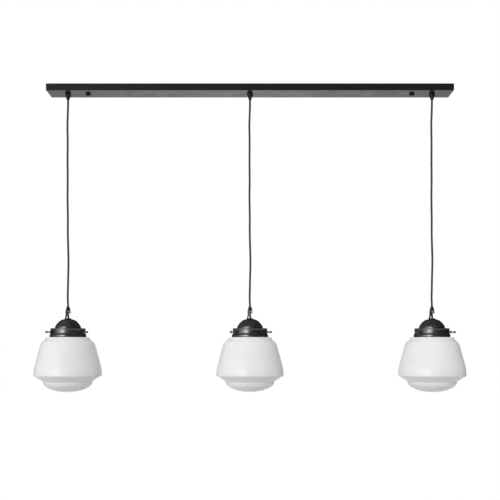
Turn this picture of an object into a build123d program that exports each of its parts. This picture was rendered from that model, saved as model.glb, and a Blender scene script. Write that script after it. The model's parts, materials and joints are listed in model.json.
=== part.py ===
from build123d import *

import math
import os

# A linear pendant light: a ceiling bar with three school-type opal shades on covered cords.
# Millimetres. The ceiling plane is z = 0, the bar runs along X, and the shades hang towards -Z.
# The origin is the centre of the bar's top rim.

# Ceiling bar, folded from sheet and open at the top
BAR_LENGTH = 1200.0
BAR_WIDTH = 80.0
BAR_HEIGHT = 20.0
BAR_SHEET = 1.5
BAR_FOLD_RADIUS = 1.2
CORD_END_MARGIN = 57.5  # from the bar's end to the outer cords
STUD_END_MARGIN = 117.5  # from the bar's end to the studs it hangs on

# Brackets that the ceiling screws hold, each with a welded stud
BRACKET_LENGTH = 74.0
BRACKET_WIDTH = 20.0
BRACKET_SHEET = 2.0
CEILING_HOLE_SPACING = 52.0
CEILING_HOLE_RADIUS = 2.5
STUD_RADIUS = 2.5
STUD_REACH = 4.0  # below the bar
CAP_NUT_RADIUS = 7.3
CAP_NUT_HEIGHT = 5.4
CAP_NUT_FLUTES = 16
FLUTE_RADIUS = 0.8
CAP_NUT_BEVEL = 0.9

# Cords: woven cover on a three-core cable
CORD_RADIUS = 3.0
CORD_FREE_LENGTH = 616.0  # from the grip's mouth to the hook
CORE_RADIUS = 0.8
CORE_RING = 1.3  # the cores' centres lie on this radius
NECK_LENGTH = 6.0  # between the two axes the cord swings about

# Cord grips in the bar
GRIP_LENGTH = 18.0
GRIP_RADIUS = 9.1
GRIP_COLLAR = 2.2
GRIP_MOUTH_RADIUS = 3.9
GRIP_SHANK_RADIUS = 5.0
GRIP_SHANK_REACH = 5.0  # above the bar's floor
LOCK_NUT_FLAT = 14.0
LOCK_NUT_HEIGHT = 3.6

# Terminal block on the bar's floor
BLOCK_X = 120.0
BLOCK_LENGTH = 30.0  # across the bar
BLOCK_WIDTH = 16.0
BLOCK_HEIGHT = 13.0
POLE_SPACING = 10.0
POLE_BORE_RADIUS = 2.2
POLE_Z_DROP = 5.2  # below the block's top
CORE_PAIR_OFFSET = 0.95  # two cores share a pole, one above the other
TERMINAL_SCREW_RADIUS = 1.5
TERMINAL_SCREW_OFFSET = 4.5
TERMINAL_HEAD_RADIUS = 2.0
TERMINAL_HEAD_HEIGHT = 1.2
SMALL_STUD_RADIUS = 2.0
SMALL_NUT_FLAT = 7.0
SMALL_NUT_HEIGHT = 3.2
EARTH_X = 200.0
EARTH_Y = 25.0
LUG_RADIUS = 4.0
LUG_SHEET = 0.8
LUG_TONGUE_WIDTH = 3.0
LUG_TONGUE_LENGTH = 5.0

# Cable runs inside the bar
LEAD_DROP = 5.6  # the jackets' centre below the ceiling
LEAD_BEND = 7.6
LEAD_SIDE = 12.0  # beside the studs
JACKET_END_GAP = 22.0  # bare cores between a jacket and the block

# Hook on the cord's end, with a fork for the loop
HOOK_TOP_RADIUS = 4.0
HOOK_BARREL_LENGTH = 12.6
HOOK_PIVOT_DROP = 17.0  # from the hook's top to its pivot screws
CHEEK_THICKNESS = 2.0
CHEEK_ROUND = 4.2
PIVOT_RADIUS = 1.5
PIVOT_HEAD_RADIUS = 2.7
PIVOT_HEAD_HEIGHT = 1.4

# Loop on the dome, with a hollow threaded boss
EAR_THICKNESS = 1.5
EAR_ROUND = 3.8
LOOP_HEIGHT = 20.5  # from the pivot to the dome's top
LOOP_DEPTH = 5.2
LOOP_ROD = 2.6
LOOP_WAIST_HALF = 6.6
LOOP_WAIST_DROP = 8.6
FLANGE_RADIUS = 9.0
FLANGE_THICKNESS = 2.2
BOSS_RADIUS = 5.0
BOSS_BORE = 3.6
BOSS_LENGTH = 13.0

# Dome
DOME_RADIUS = 38.3
DOME_RISE = 28.4
DOME_SHEET = 1.5
DOME_FLAT_RADIUS = 9.0  # pressed flat for the loop's flange

# Gallery that holds the glass
GALLERY_HEIGHT = 26.0
GALLERY_SHEET = 1.5
GALLERY_WALL_RADIUS = 48.8
GALLERY_TOP_RADIUS = 50.2
GALLERY_RIM_RADIUS = 52.4
GALLERY_BEAD = 3.4
GALLERY_FLARE = 5.4
SCREW_DROP = 11.6  # from the gallery's top to the thumbscrews
SCREW_ANGLES = {"a": -25.5, "b": 94.5, "c": -145.5}
SCREW_BOSS_RADIUS = 4.0
SCREW_BOSS_REACH = 57.0
SCREW_RADIUS = 2.0
SCREW_KNOB_START = 64.6
SCREW_KNOB_LENGTH = 9.0
SCREW_KNOB_RADIUS = 3.3

# Opal glass, by its outside radii and the heights between them
GLASS_WALL = 3.0
NECK_RADIUS = 41.0
NECK_BEAD = 3.4  # how far the bead stands out
NECK_BEAD_HEIGHT = 4.4
SHOULDER_TOP_RADIUS = 58.0
SHOULDER_RADIUS = 82.4
SHOULDER_DROP = 22.6
BELLY_RADIUS = 100.5
BELLY_DROP = 106.5
BELLY_EDGE = 9.0
FOOT_RADIUS = 75.5
FOOT_DROP = 131.0
BOWL_DEPTH = 32.6
BELLY_ROUND = 2.0

# Lampholder and lamp, hidden in the dome and the glass
HOLDER_RADIUS = 19.5
HOLDER_CAP_RADIUS = 21.0
HOLDER_LENGTH = 56.0
HOLDER_CAP_LENGTH = 15.0
HOLDER_CAP_ROUND = 5.0
SOCKET_RADIUS = 13.3
SOCKET_DEPTH = 27.0
CHAMBER_RADIUS = 12.0
CHAMBER_DEPTH = 12.0
SHADE_RING_RADIUS = 26.0
SHADE_RING_HEIGHT = 3.6
BOSS_NUT_FLAT = 14.0
BOSS_NUT_HEIGHT = 3.2
LAMP_BASE_RADIUS = 13.1
LAMP_GLOBE_RADIUS = 30.0
LAMP_LENGTH = 108.0
LAMP_NECK_RADIUS = 16.0

# Clearances
CLEAR = 0.1  # a screw or cord in its hole, on the radius
RUN = 0.05  # a pin that turns in its hole, on the radius
GAP = 0.3  # between pieces that move past each other

# Places that follow from the sizes
FLOOR_Z = BAR_SHEET - BAR_HEIGHT
CORD_X = BAR_LENGTH / 2 - CORD_END_MARGIN
STUD_X = BAR_LENGTH / 2 - STUD_END_MARGIN
PENDANTS = {"left": -CORD_X, "centre": 0.0, "right": CORD_X}
GRIP_MOUTH_Z = -BAR_HEIGHT - GRIP_LENGTH
SWING_Z = GRIP_MOUTH_Z - GAP - CORD_RADIUS  # swing to front and back
SWAY_Z = SWING_Z - NECK_LENGTH  # sway along the bar
HOOK_TOP_Z = GRIP_MOUTH_Z - CORD_FREE_LENGTH
PIVOT_Z = HOOK_TOP_Z - HOOK_PIVOT_DROP
DOME_TOP_Z = PIVOT_Z - LOOP_HEIGHT
DOME_FLAT_DROP = DOME_RISE * (1 - math.sqrt(1 - (DOME_FLAT_RADIUS / DOME_RADIUS) ** 2))
GALLERY_TOP_Z = DOME_TOP_Z + DOME_FLAT_DROP - DOME_RISE
GALLERY_BOTTOM_Z = GALLERY_TOP_Z - GALLERY_HEIGHT
SCREW_Z = GALLERY_TOP_Z - SCREW_DROP
GLASS_TOP_Z = GALLERY_BOTTOM_Z - 0.6
EAR_INNER = CORD_RADIUS + GAP
EAR_OUTER = EAR_INNER + EAR_THICKNESS
CHEEK_INNER = EAR_OUTER + CLEAR
HOOK_WIDE_RADIUS = CHEEK_INNER + CHEEK_THICKNESS
HOLDER_TOP_Z = DOME_TOP_Z - DOME_SHEET - BOSS_NUT_HEIGHT - 1.0
HOLDER_BOTTOM_Z = HOLDER_TOP_Z - HOLDER_LENGTH
BLOCK_TOP_Z = FLOOR_Z + BLOCK_HEIGHT
POLE_Z = BLOCK_TOP_Z - POLE_Z_DROP
POLES = (-POLE_SPACING, 0.0, POLE_SPACING)
BLOCK_STUDS = (-POLE_SPACING / 2, POLE_SPACING / 2)

# The free cord hangs in a slight wave. These are its points from under the neck to above the hook,
# as (x beside the pendant's axis, y, z), chosen from how the cord hangs.
CORD_WAVE = (
    (-0.4, 0.1, -74.0),
    (-2.3, 0.4, -113.0),
    (-0.9, 0.2, -163.0),
    (-1.7, -0.4, -219.0),
    (-0.8, -0.2, -276.0),
    (-1.8, 0.3, -330.0),
    (-0.4, 0.5, -390.0),
    (-0.9, 0.1, -438.0),
    (0.5, -0.4, -482.0),
    (1.6, -0.3, -522.0),
    (0.2, 0.2, -566.0),
    (-0.4, 0.3, -602.0),
    (-1.2, 0.0, -631.0),
)

# The tail drifts to the right and back as it passes through the loop, as (x, y, below the pivot)
TAIL_ROUTE = ((0.0, 0.0, 0.0), (0.0, 0.0, 3.0), (1.6, 0.6, 10.5), (0.2, 0.1, 17.6), (0.2, 0.1, 37.0))


def rod_z(radius, low, high, x=0.0, y=0.0):
    """A cylinder along Z between two heights."""
    return Pos(x, y, (low + high) / 2) * Cylinder(radius, high - low)


def rod_x(radius, low, high, y, z):
    """A cylinder along X between two places."""
    return Pos((low + high) / 2, y, z) * Rot(0, 90, 0) * Cylinder(radius, high - low)


def block(low, high):
    """A box between two corners."""
    size = [b - a for a, b in zip(low, high)]
    return Pos(*[(a + b) / 2 for a, b in zip(low, high)]) * Box(*size)


def turned(outline):
    """A solid of revolution about Z, from its outline as (radius, z) points."""
    return revolve(Plane.XZ * make_face(Polyline(*outline, close=True)), Axis.Z)


def turned_lines(lines):
    """A solid of revolution about Z, from joined lines and arcs in (radius, z)."""
    return revolve(Plane.XZ * make_face(lines), Axis.Z)


def hex_nut(flat, height, bore, z_low, x=0.0, y=0.0):
    """A six-sided nut with its lower face at z_low."""
    outline = RegularPolygon(flat / 2, 6, major_radius=False)
    nut = extrude(outline, height) - Pos(0, 0, height / 2) * Cylinder(bore, 2 * height)
    return Pos(x, y, z_low) * nut


def bend_radii(route, share=0.45):
    """For each corner of a route, the radius that its two runs allow."""
    radii = []
    for before, here, after in zip(route, route[1:], route[2:]):
        first = Vector(*here) - Vector(*before)
        second = Vector(*after) - Vector(*here)
        half_turn = math.radians(first.get_angle(second)) / 2
        radii.append(share * min(first.length, second.length) / math.tan(half_turn))
    return radii


def tube(route, radius, radii=None):
    """A round tube along straight runs joined by tangent arcs."""
    route = [tuple(p) for p in route]
    if len(route) == 2:
        path = Line(*route)
    else:
        path = FilletPolyline(*route, radius=radii or bend_radii(route))
    start = Plane(origin=route[0], z_dir=Vector(*route[1]) - Vector(*route[0]))
    return sweep(start * Circle(radius), path=path.wire() if len(route) > 2 else path), path


# Ceiling bar and what it holds


def ceiling_bar():
    half_x, half_y = BAR_LENGTH / 2, BAR_WIDTH / 2
    shell = block((-half_x, -half_y, -BAR_HEIGHT), (half_x, half_y, 0))
    outer = shell.edges().filter_by(Axis.Z) + shell.faces().sort_by(Axis.Z)[0].edges()
    shell = fillet(outer, BAR_FOLD_RADIUS)
    inner_x, inner_y = half_x - BAR_SHEET, half_y - BAR_SHEET
    shell -= block((-inner_x, -inner_y, FLOOR_Z), (inner_x, inner_y, BAR_HEIGHT))
    for x in PENDANTS.values():
        shell -= rod_z(GRIP_SHANK_RADIUS + CLEAR, -2 * BAR_HEIGHT, 0, x)
    for x in (-STUD_X, STUD_X):
        shell -= rod_z(STUD_RADIUS + CLEAR, -2 * BAR_HEIGHT, 0, x)
    block_stud_top = BLOCK_TOP_Z + SMALL_NUT_HEIGHT + 0.6
    for y in BLOCK_STUDS:
        shell += rod_z(SMALL_STUD_RADIUS, FLOOR_Z - BAR_SHEET / 2, block_stud_top, BLOCK_X, y)
    earth_stud_top = FLOOR_Z + LUG_SHEET + SMALL_NUT_HEIGHT + 1.5
    shell += rod_z(SMALL_STUD_RADIUS, FLOOR_Z - BAR_SHEET / 2, earth_stud_top, EARTH_X, EARTH_Y)
    return shell


def mounting_bracket(x):
    half_x, half_y = BRACKET_WIDTH / 2, BRACKET_LENGTH / 2
    strap = block((x - half_x, -half_y, -BRACKET_SHEET), (x + half_x, half_y, 0))
    strap = fillet(strap.edges().filter_by(Axis.Z), half_x / 2)
    for y in (-CEILING_HOLE_SPACING / 2, CEILING_HOLE_SPACING / 2):
        strap -= rod_z(CEILING_HOLE_RADIUS, -2 * BRACKET_SHEET, BRACKET_SHEET, x, y)
    return strap + rod_z(STUD_RADIUS, -BAR_HEIGHT - STUD_REACH, -BRACKET_SHEET / 2, x)


def cap_nut(x):
    low = -BAR_HEIGHT - CAP_NUT_HEIGHT
    nut = rod_z(CAP_NUT_RADIUS, low, -BAR_HEIGHT, x)
    nut = chamfer(nut.faces().sort_by(Axis.Z)[0].edges(), CAP_NUT_BEVEL)
    for flute in PolarLocations(CAP_NUT_RADIUS + FLUTE_RADIUS / 2, CAP_NUT_FLUTES):
        nut -= Pos(x, 0, low) * flute * Cylinder(FLUTE_RADIUS, 3 * CAP_NUT_HEIGHT)
    return nut - rod_z(STUD_RADIUS + RUN, -BAR_HEIGHT - STUD_REACH - GAP, 0, x)


def cord_grip(x):
    """A tapered plastic grip with a threaded shank through the bar's floor."""
    low, high = GRIP_MOUTH_Z, -BAR_HEIGHT
    middle = (GRIP_RADIUS * 0.76, high - GRIP_LENGTH * 0.48)
    outline = Curve() + [
        Line((0, high), (GRIP_RADIUS, high)),
        Line((GRIP_RADIUS, high), (GRIP_RADIUS, high - GRIP_COLLAR)),
        ThreePointArc((GRIP_RADIUS, high - GRIP_COLLAR), middle, (GRIP_MOUTH_RADIUS, low)),
        Line((GRIP_MOUTH_RADIUS, low), (0, low)),
        Line((0, low), (0, high)),
    ]
    grip = turned_lines(outline) + rod_z(GRIP_SHANK_RADIUS, high, FLOOR_Z + GRIP_SHANK_REACH)
    return Pos(x, 0, 0) * (grip - rod_z(CORD_RADIUS + CLEAR, 2 * low, 0))


def grip_lock_nuts():
    bore = GRIP_SHANK_RADIUS + RUN
    return [hex_nut(LOCK_NUT_FLAT, LOCK_NUT_HEIGHT, bore, FLOOR_Z, x) for x in PENDANTS.values()]


def terminal_block():
    half_x, half_y = BLOCK_WIDTH / 2, BLOCK_LENGTH / 2
    body = block((BLOCK_X - half_x, -half_y, FLOOR_Z), (BLOCK_X + half_x, half_y, BLOCK_TOP_Z))
    body = chamfer(body.faces().sort_by(Axis.Z)[-1].edges(), 0.8)
    for y in POLES:
        body -= rod_x(POLE_BORE_RADIUS, BLOCK_X - BLOCK_WIDTH, BLOCK_X + BLOCK_WIDTH, y, POLE_Z)
        for side in (-TERMINAL_SCREW_OFFSET, TERMINAL_SCREW_OFFSET):
            body -= rod_z(TERMINAL_SCREW_RADIUS + RUN, POLE_Z, 0, BLOCK_X + side, y)
            sink = BLOCK_TOP_Z - TERMINAL_HEAD_HEIGHT
            body -= rod_z(TERMINAL_HEAD_RADIUS + CLEAR, sink, 0, BLOCK_X + side, y)
    for y in BLOCK_STUDS:
        body -= rod_z(SMALL_STUD_RADIUS + CLEAR, -BAR_HEIGHT, 0, BLOCK_X, y)
    return body


def terminal_screws():
    tip = POLE_Z + CORE_PAIR_OFFSET + CORE_RADIUS + CLEAR
    head = BLOCK_TOP_Z - TERMINAL_HEAD_HEIGHT
    screws = []
    for y in POLES:
        for side in (-TERMINAL_SCREW_OFFSET, TERMINAL_SCREW_OFFSET):
            x = BLOCK_X + side
            screw = rod_z(TERMINAL_SCREW_RADIUS, tip, head, x, y)
            screw += rod_z(TERMINAL_HEAD_RADIUS, head, BLOCK_TOP_Z, x, y)
            slot = (x - TERMINAL_HEAD_RADIUS * 2, y - 0.3, BLOCK_TOP_Z - 0.6)
            screws.append(screw - block(slot, (x + TERMINAL_HEAD_RADIUS * 2, y + 0.3, 0)))
    return screws


def stud_nuts():
    bore = SMALL_STUD_RADIUS + RUN
    nuts = [hex_nut(SMALL_NUT_FLAT, SMALL_NUT_HEIGHT, bore, BLOCK_TOP_Z, BLOCK_X, y) for y in BLOCK_STUDS]
    nuts.append(hex_nut(SMALL_NUT_FLAT, SMALL_NUT_HEIGHT, bore, FLOOR_Z + LUG_SHEET, EARTH_X, EARTH_Y))
    return nuts


def cores(end, side, level):
    """Three bare cores from a jacket's end to the block's poles. side is -1 from the left, +1 from the right."""
    x, y, z = end
    face = BLOCK_X + side * BLOCK_WIDTH / 2
    wires = []
    for pole, turn in zip(POLES, (210, 90, 330)):
        dy = CORE_RING * math.cos(math.radians(turn))
        dz = CORE_RING * math.sin(math.radians(turn))
        route = (
            (x + side * 3.0, y + dy, z + dz),
            (x - side * 5.0, y + dy, z + dz),
            (face + side * 5.0, pole, level),
            (face - side * 6.0, pole, level),
        )
        wires.append(tube(route, CORE_RADIUS, bend_radii(route, 0.4))[0])
    return wires


def lead(x, side, points, level):
    """A cord's run from its grip's mouth up into the bar, then along it to the block."""
    route = [(x, 0, GRIP_MOUTH_Z), (x, 0, -LEAD_DROP), *points]
    radii = [LEAD_BEND] + [min(r, 60.0) for r in bend_radii(route)[1:]]
    jacket = tube(route, CORD_RADIUS, radii)[0]
    for wire in cores(route[-1], side, level):
        jacket += wire
    return jacket


def lead_left():
    end = BLOCK_X - BLOCK_WIDTH / 2 - JACKET_END_GAP
    points = [(-STUD_X - 22, -LEAD_SIDE, -LEAD_DROP), (end, -LEAD_SIDE, -LEAD_DROP)]
    return lead(PENDANTS["left"], -1, points, POLE_Z + CORE_PAIR_OFFSET)


def lead_centre():
    end = BLOCK_X - BLOCK_WIDTH / 2 - JACKET_END_GAP
    low = POLE_Z - CORE_PAIR_OFFSET - 0.8
    points = [(34, 0, -LEAD_DROP), (58, 0, low), (end, 0, low)]
    return lead(PENDANTS["centre"], -1, points, POLE_Z - CORE_PAIR_OFFSET)


def lead_right():
    end = BLOCK_X + BLOCK_WIDTH / 2 + JACKET_END_GAP
    points = [(STUD_X + 22, LEAD_SIDE, -LEAD_DROP), (end, LEAD_SIDE, -LEAD_DROP)]
    return lead(PENDANTS["right"], 1, points, POLE_Z + CORE_PAIR_OFFSET)


def earth_lead():
    """The wire that bonds the bar, from the last pole to a ring lug on its stud."""
    level = POLE_Z - CORE_PAIR_OFFSET
    low = FLOOR_Z + LUG_SHEET + CORE_RADIUS * 0.6
    face = BLOCK_X + BLOCK_WIDTH / 2
    tongue = EARTH_X - LUG_RADIUS - LUG_TONGUE_LENGTH
    route = (
        (face - 6.0, POLES[-1], level),
        (face + 8.0, POLES[-1], level),
        (face + 36.0, EARTH_Y, low),
        (tongue + LUG_TONGUE_LENGTH - GAP, EARTH_Y, low),
    )
    wire = tube(route, CORE_RADIUS, bend_radii(route, 0.4))[0]
    lug = rod_z(LUG_RADIUS, FLOOR_Z, FLOOR_Z + LUG_SHEET, EARTH_X, EARTH_Y)
    half = LUG_TONGUE_WIDTH / 2
    lug += block((tongue, EARTH_Y - half, FLOOR_Z), (EARTH_X, EARTH_Y + half, FLOOR_Z + LUG_SHEET))
    lug -= rod_z(SMALL_STUD_RADIUS + CLEAR, -BAR_HEIGHT, 0, EARTH_X, EARTH_Y)
    return wire + lug


# One pendant, modelled on the Z axis and then moved to its place


def cord_neck():
    """The cord's first stretch, round-topped where it swings in the grip's mouth."""
    return rod_z(CORD_RADIUS, SWAY_Z + CORD_RADIUS + GAP, SWING_Z) + Pos(0, 0, SWING_Z) * Sphere(CORD_RADIUS)


def cord():
    hook_floor = PIVOT_Z + CORD_RADIUS + CLEAR
    route = [(0, 0, SWAY_Z), *CORD_WAVE, (0, 0, HOOK_TOP_Z + 4.0), (0, 0, hook_floor)]
    solid, path = tube(route, CORD_RADIUS)
    ideal = math.pi * CORD_RADIUS**2 * path.length
    print("cord length", round(path.length + CORD_RADIUS, 1), "volume ratio", round(solid.volume / ideal, 5))
    print("cord radii", [round(r) for r in bend_radii(route)])
    return solid + Pos(0, 0, SWAY_Z) * Sphere(CORD_RADIUS)


def cord_hook():
    """A bell-shaped grip clamped on the cord, with two cheeks that hold the pivot screws."""
    floor = HOOK_TOP_Z - HOOK_BARREL_LENGTH
    shoulder = (HOOK_WIDE_RADIUS * 0.86, HOOK_TOP_Z - HOOK_BARREL_LENGTH * 0.4)
    outline = Curve() + [
        Line((0, HOOK_TOP_Z), (HOOK_TOP_RADIUS, HOOK_TOP_Z)),
        ThreePointArc((HOOK_TOP_RADIUS, HOOK_TOP_Z), shoulder, (HOOK_WIDE_RADIUS, floor)),
        Line((HOOK_WIDE_RADIUS, floor), (0, floor)),
        Line((0, floor), (0, HOOK_TOP_Z)),
    ]
    hook = turned_lines(outline)
    for side in (-1, 1):
        low, high = sorted((side * CHEEK_INNER, side * HOOK_WIDE_RADIUS))
        cheek = block((low, -CHEEK_ROUND, PIVOT_Z), (high, CHEEK_ROUND, floor + 0.6))
        cheek += rod_x(CHEEK_ROUND, low, high, 0, PIVOT_Z)
        hook += cheek - rod_x(PIVOT_RADIUS + CLEAR, low - 1, high + 1, 0, PIVOT_Z)
    return hook - rod_z(CORD_RADIUS + CLEAR, floor - 2, HOOK_TOP_Z + 1)


def hook_screws():
    """Two stub screws: a knurled head outside each cheek and a plain pivot inside."""
    screws = []
    for side in (-1, 1):
        tip, cheek = EAR_INNER + CLEAR, HOOK_WIDE_RADIUS
        low, high = sorted((side * tip, side * cheek))
        screw = rod_x(PIVOT_RADIUS, low, high, 0, PIVOT_Z)
        low, high = sorted((side * cheek, side * (cheek + PIVOT_HEAD_HEIGHT)))
        screws.append(screw + rod_x(PIVOT_HEAD_RADIUS, low, high, 0, PIVOT_Z))
    return screws


def loop():
    """A bow on two ears, widening to a flange with a hollow threaded boss."""
    flange_top = DOME_TOP_Z + FLANGE_THICKNESS
    waist_z = PIVOT_Z - LOOP_WAIST_DROP
    bow = Part()
    for side in (-1, 1):
        low, high = sorted((side * EAR_INNER, side * EAR_OUTER))
        ear = rod_x(EAR_ROUND, low, high, 0, PIVOT_Z)
        ear += block((low, -LOOP_DEPTH / 2, waist_z + 3.2), (high, LOOP_DEPTH / 2, PIVOT_Z))
        ear -= rod_x(PIVOT_RADIUS + RUN, low - 1, high + 1, 0, PIVOT_Z)
        leg = Polyline(
            (side * EAR_INNER, waist_z + 4.4),
            (side * EAR_OUTER, waist_z + 4.4),
            (side * LOOP_WAIST_HALF, waist_z),
            (side * (FLANGE_RADIUS - 0.5), flange_top - 0.5),
            (side * (FLANGE_RADIUS - 0.5 - LOOP_ROD), flange_top - 0.5),
            (side * (LOOP_WAIST_HALF - LOOP_ROD + 0.4), waist_z + 0.8),
            close=True,
        )
        face = Plane.XZ.offset(-LOOP_DEPTH / 2) * make_face(leg)
        bow += ear + extrude(face, LOOP_DEPTH)
    flange = rod_z(FLANGE_RADIUS, DOME_TOP_Z, flange_top)
    flange = fillet(flange.faces().sort_by(Axis.Z)[-1].edges(), 0.8)
    boss = rod_z(BOSS_RADIUS, DOME_TOP_Z - BOSS_LENGTH, DOME_TOP_Z)
    return bow + flange + boss - rod_z(BOSS_BORE, DOME_TOP_Z - 2 * BOSS_LENGTH, flange_top + 1)


def cord_tail():
    """The cord's end, from the hook through the loop into the lampholder's wiring space."""
    route = [(x, y, PIVOT_Z - drop) for x, y, drop in TAIL_ROUTE]
    jacket = tube(route, CORD_RADIUS - CLEAR)[0] + Pos(0, 0, PIVOT_Z) * Sphere(CORD_RADIUS - CLEAR)
    x, y, low = route[-1]
    for turn in (90, 210, 330):
        dx = CORE_RING * math.cos(math.radians(turn))
        dy = CORE_RING * math.sin(math.radians(turn))
        jacket += rod_z(CORE_RADIUS, low - 4.0, low + 2.0, x + dx, y + dy)
    return jacket


def half_ellipse(radius, rise):
    """The quarter of an ellipse over r = 0 to radius, standing on GALLERY_TOP_Z, as a face."""
    arc = EllipticalCenterArc((0, GALLERY_TOP_Z), radius, rise, start_angle=0, arc_size=90)
    lines = Curve() + [
        arc,
        Line((0, GALLERY_TOP_Z + rise), (0, GALLERY_TOP_Z)),
        Line((0, GALLERY_TOP_Z), (radius, GALLERY_TOP_Z)),
    ]
    return revolve(Plane.XZ * make_face(lines), Axis.Z)


def dome():
    wide = DOME_RADIUS * 2
    above = block((-wide, -wide, DOME_TOP_Z), (wide, wide, DOME_TOP_Z + wide))
    inner_above = block((-wide, -wide, DOME_TOP_Z - DOME_SHEET), (wide, wide, DOME_TOP_Z + wide))
    outer = half_ellipse(DOME_RADIUS, DOME_RISE) - above
    inner = half_ellipse(DOME_RADIUS - DOME_SHEET, DOME_RISE - DOME_SHEET / 2) - inner_above
    hole = rod_z(BOSS_RADIUS + CLEAR, DOME_TOP_Z - DOME_RISE, DOME_TOP_Z + 1)
    return outer - inner - hole


def gallery():
    """The ring that carries the glass: a plate, a beaded wall with a flared rim, three bosses."""
    top, low = GALLERY_TOP_Z, GALLERY_BOTTOM_Z
    wall, sheet = GALLERY_WALL_RADIUS, GALLERY_SHEET
    hole = HOLDER_RADIUS + CLEAR
    outline = [
        (hole, top),
        (GALLERY_TOP_RADIUS - 0.9, top),
        (GALLERY_TOP_RADIUS, top - 0.9),
        (GALLERY_TOP_RADIUS, top - GALLERY_BEAD + 0.9),
        (wall, top - GALLERY_BEAD - 0.3),
        (wall, low + GALLERY_FLARE),
        (GALLERY_RIM_RADIUS - 0.6, low + 2.2),
        (GALLERY_RIM_RADIUS, low + 1.4),
        (GALLERY_RIM_RADIUS, low),
        (GALLERY_RIM_RADIUS - sheet, low),
        (wall - sheet, low + GALLERY_FLARE - 0.8),
        (wall - sheet, top - sheet),
        (hole, top - sheet),
    ]
    ring = turned(outline)
    for angle in SCREW_ANGLES.values():
        turn = Rot(0, 0, angle)
        ring += turn * rod_x(SCREW_BOSS_RADIUS, wall - sheet, SCREW_BOSS_REACH, 0, SCREW_Z)
    for angle in SCREW_ANGLES.values():
        turn = Rot(0, 0, angle)
        ring -= turn * rod_x(SCREW_RADIUS + RUN, wall - 4 * sheet, SCREW_BOSS_REACH + 1, 0, SCREW_Z)
    return ring


def thumbscrew(angle):
    tip = NECK_RADIUS + GAP
    end = SCREW_KNOB_START + SCREW_KNOB_LENGTH
    outline = [
        (0, tip),
        (SCREW_RADIUS - 0.5, tip),
        (SCREW_RADIUS, tip + 0.8),
        (SCREW_RADIUS, SCREW_KNOB_START),
        (SCREW_KNOB_RADIUS - 0.6, SCREW_KNOB_START),
        (SCREW_KNOB_RADIUS, SCREW_KNOB_START + 0.8),
        (SCREW_KNOB_RADIUS, end - 1.6),
        (SCREW_KNOB_RADIUS - 1.4, end),
        (0, end),
    ]
    return Rot(0, 0, angle) * Pos(0, 0, SCREW_Z) * Rot(0, 90, 0) * turned(outline)


def glass_outline(inset):
    """The glass's outside, or its inside at a wall's inset, as joined lines and curves in (radius, z)."""
    top = GLASS_TOP_Z
    slope = math.atan2(FOOT_DROP - BELLY_DROP - BELLY_EDGE, BELLY_RADIUS - FOOT_RADIUS)
    corner = inset * math.tan((math.pi / 2 - slope) / 2)
    crown = (SHOULDER_TOP_RADIUS - inset * 0.3, top - 0.4 - inset)
    ring = (SHOULDER_TOP_RADIUS + 10.3 - inset * 0.6, top - 4.1 - inset * 0.8)
    shoulder = (SHOULDER_RADIUS - inset, top - SHOULDER_DROP - inset * 0.2)
    belly = (BELLY_RADIUS - inset, top - BELLY_DROP)
    edge = (BELLY_RADIUS - inset, top - BELLY_DROP - BELLY_EDGE + corner)
    foot = (FOOT_RADIUS - inset, top - FOOT_DROP + corner)
    depth = BOWL_DEPTH + corner - inset
    return Curve() + [
        Line((0, top - inset), (NECK_RADIUS - inset, top - inset)),
        Line((NECK_RADIUS - inset, top - inset), crown),
        Spline(crown, ring, shoulder, tangents=((1, -0.05), (0.12, -1))),
        Spline(shoulder, belly, tangents=((0.28, -1), (0.02, -1))),
        Line(belly, edge),
        Line(edge, foot),
        EllipticalCenterArc((0, foot[1]), foot[0], depth, start_angle=270, arc_size=90),
        Line((0, foot[1] - depth), (0, top - inset)),
    ]


def glass_shade():
    top = GLASS_TOP_Z
    outer = turned_lines(glass_outline(0.0))
    edge_z = top - BELLY_DROP - BELLY_EDGE
    edge = [e for e in outer.edges().filter_by(GeomType.CIRCLE) if abs(e.center().Z - edge_z) < 0.01]
    outer = fillet(edge, BELLY_ROUND)
    inner = turned_lines(glass_outline(GLASS_WALL))
    bead_low = SCREW_Z + SCREW_RADIUS + CLEAR
    neck_top = bead_low + NECK_BEAD_HEIGHT
    neck = rod_z(NECK_RADIUS, top - GLASS_WALL, neck_top)
    bead = rod_z(NECK_RADIUS + NECK_BEAD, bead_low, neck_top)
    bead = fillet(bead.edges().filter_by(GeomType.CIRCLE), NECK_BEAD_HEIGHT * 0.42)
    mouth = rod_z(NECK_RADIUS - GLASS_WALL, top - 2 * GLASS_WALL, neck_top + 1)
    return outer - inner + neck + bead - mouth


def lampholder():
    top, low = HOLDER_TOP_Z, HOLDER_BOTTOM_Z
    cap_low = top - HOLDER_CAP_LENGTH
    cap = rod_z(HOLDER_CAP_RADIUS, cap_low, top)
    cap = fillet(cap.faces().sort_by(Axis.Z)[-1].edges(), HOLDER_CAP_ROUND)
    body = cap + rod_z(HOLDER_RADIUS, low, cap_low)
    body -= rod_z(SOCKET_RADIUS, low - 1, low + SOCKET_DEPTH)
    body -= rod_z(BOSS_RADIUS + RUN, top - 2 * HOLDER_CAP_ROUND, top + 1)
    chamber_top = DOME_TOP_Z - BOSS_LENGTH - GAP
    return body - rod_z(CHAMBER_RADIUS, chamber_top - CHAMBER_DEPTH, chamber_top)


def holder_fixings():
    """The nut under the dome and the two rings that clamp the gallery on the lampholder."""
    nut = hex_nut(BOSS_NUT_FLAT, BOSS_NUT_HEIGHT, BOSS_RADIUS + RUN, DOME_TOP_Z - DOME_SHEET - BOSS_NUT_HEIGHT)
    rings = []
    plate_low = GALLERY_TOP_Z - GALLERY_SHEET
    for low in (GALLERY_TOP_Z, plate_low - SHADE_RING_HEIGHT):
        ring = rod_z(SHADE_RING_RADIUS, low, low + SHADE_RING_HEIGHT)
        rings.append(ring - rod_z(HOLDER_RADIUS + RUN, low - 1, low + SHADE_RING_HEIGHT + 1))
    return [nut, *rings]


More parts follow.
